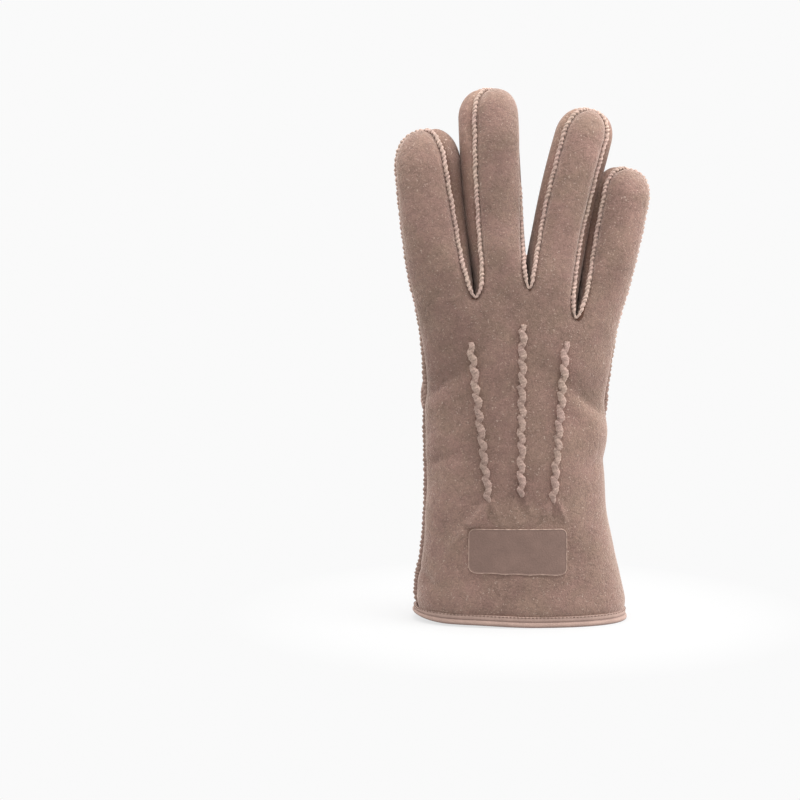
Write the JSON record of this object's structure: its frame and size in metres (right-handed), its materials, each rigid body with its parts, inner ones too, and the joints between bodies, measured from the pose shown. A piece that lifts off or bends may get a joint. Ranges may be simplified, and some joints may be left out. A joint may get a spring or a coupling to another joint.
{
  "type": "suede glove",
  "caption": "Upright right-hand suede dress glove with hand-stitched seams, gathered palm, three raised back points and a bound cuff.",
  "frame": {"origin": "below the middle of the whole glove, at the level of the flat lower edge of the binding, which stands on the floor", "axes": "+Z from the cuff to the fingertips, -Y out of the back of the hand, +Y out of the palm, +X towards the little finger"},
  "size_m": [0.1174, 0.072, 0.2451],
  "materials": {
    "suede": "fine short nap, dull, warm taupe",
    "binding_leather": "smoother turned edge, a little lighter and pinker",
    "patch_leather": "bare smooth patch, a shade darker than the suede",
    "stitched_edge": "raised tuck overcast with thread"
  },
  "bodies": {
    "root": {"back_panel": "suede", "palm_panel": "suede", "fork_index_middle": "suede", "fork_middle_ring": "suede", "fork_ring_little": "suede", "thumb": "suede", "hem_binding": "binding_leather", "point_index": "stitched_edge", "point_middle": "stitched_edge", "point_ring": "stitched_edge", "patch": "patch_leather"}
  },
  "joints": []
}
